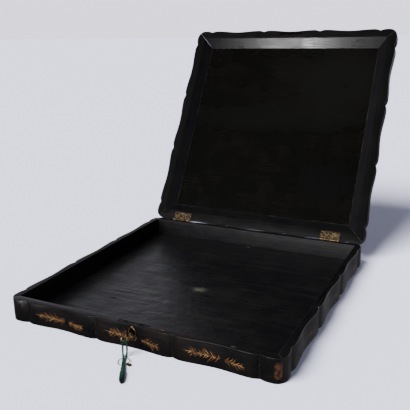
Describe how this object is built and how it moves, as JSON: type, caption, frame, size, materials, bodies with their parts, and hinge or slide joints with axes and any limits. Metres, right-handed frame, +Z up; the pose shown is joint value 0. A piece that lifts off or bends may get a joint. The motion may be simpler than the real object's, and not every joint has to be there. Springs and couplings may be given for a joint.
{
  "type": "lacquer box",
  "caption": "Shallow square black lacquered wooden box with scalloped sides, a hinged lid that leans back open, and a brass lock with its key and silk tassel.",
  "frame": {"origin": "centre of the box's underside, on the surface that it stands on", "axes": "-Y towards the front with the lock, +Y towards the hinges, +X to the right seen from the front, +Z up"},
  "size_m": [0.6, 1.0421, 0.5633],
  "materials": {
    "lacquer": "black lacquer over wood, satin gloss, worn, with thin gilt sprays",
    "brass": "aged, dull",
    "steel": "plain drawn wire",
    "silk": "twisted silk"
  },
  "bodies": {
    "case": {"case_bottom": "lacquer", "case_front_wall": "lacquer", "case_right_wall": "lacquer", "case_back_wall": "lacquer", "case_left_wall": "lacquer", "hinge_left_case_leaf": "brass", "hinge_left_pin": "brass", "hinge_left_case_leaf_screw_1": "brass", "hinge_left_case_leaf_screw_2": "brass", "hinge_left_case_leaf_screw_3": "brass", "hinge_right_case_leaf": "brass", "hinge_right_pin": "brass", "hinge_right_case_leaf_screw_1": "brass", "hinge_right_case_leaf_screw_2": "brass", "hinge_right_case_leaf_screw_3": "brass", "lock": "brass", "lock_screw_left": "brass", "lock_screw_right": "brass", "escutcheon": "brass", "escutcheon_pin_top": "brass", "escutcheon_pin_bottom": "brass", "key": "brass", "fob": "brass", "ring": "steel", "cord": "silk", "tassel": "silk"},
    "lid": {"lid_panel": "lacquer", "lid_front_wall": "lacquer", "lid_right_wall": "lacquer", "lid_back_wall": "lacquer", "lid_left_wall": "lacquer", "hinge_left_lid_leaf": "brass", "hinge_left_lid_leaf_screw_1": "brass", "hinge_left_lid_leaf_screw_2": "brass", "hinge_left_lid_leaf_screw_3": "brass", "hinge_right_lid_leaf": "brass", "hinge_right_lid_leaf_screw_1": "brass", "hinge_right_lid_leaf_screw_2": "brass", "hinge_right_lid_leaf_screw_3": "brass", "strike_plate": "brass", "strike_plate_screw_left": "brass", "strike_plate_screw_right": "brass"}
  },
  "joints": [
    {"name": "lid_hinge", "type": "hinge", "parent": "case", "child": "lid", "pos_m": [0, 0.3006, 0.0493], "axis": [1, 0, 0], "range_deg": [0, 121]}
  ]
}
